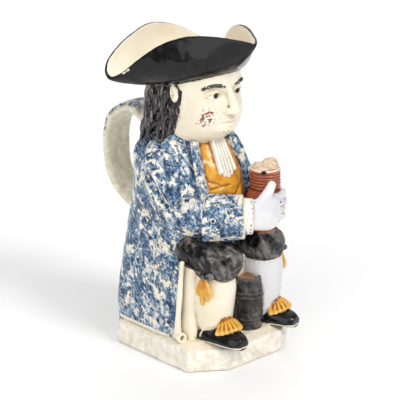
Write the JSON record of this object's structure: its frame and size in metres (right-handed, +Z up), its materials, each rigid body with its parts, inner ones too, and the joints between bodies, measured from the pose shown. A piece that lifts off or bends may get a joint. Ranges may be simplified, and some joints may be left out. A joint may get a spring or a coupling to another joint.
{
  "type": "toby jug",
  "caption": "Hollow pottery jug shaped as a seated drinker in a tricorn hat, on a canted plinth, with a strap handle behind and its mouth in the hat.",
  "frame": {"origin": "centre line of the jug on the plinth's underside", "axes": "+Z up, the figure faces -Y, its own right hand is at -X, the handle is at +Y"},
  "size_m": [0.109, 0.1763, 0.2526],
  "materials": {
    "glazed_earthenware": "glossy lead glaze over cream earthenware, painted in cobalt blue, black, ochre and brown"
  },
  "bodies": {
    "root": {"toby_jug": "glazed_earthenware"}
  },
  "joints": []
}
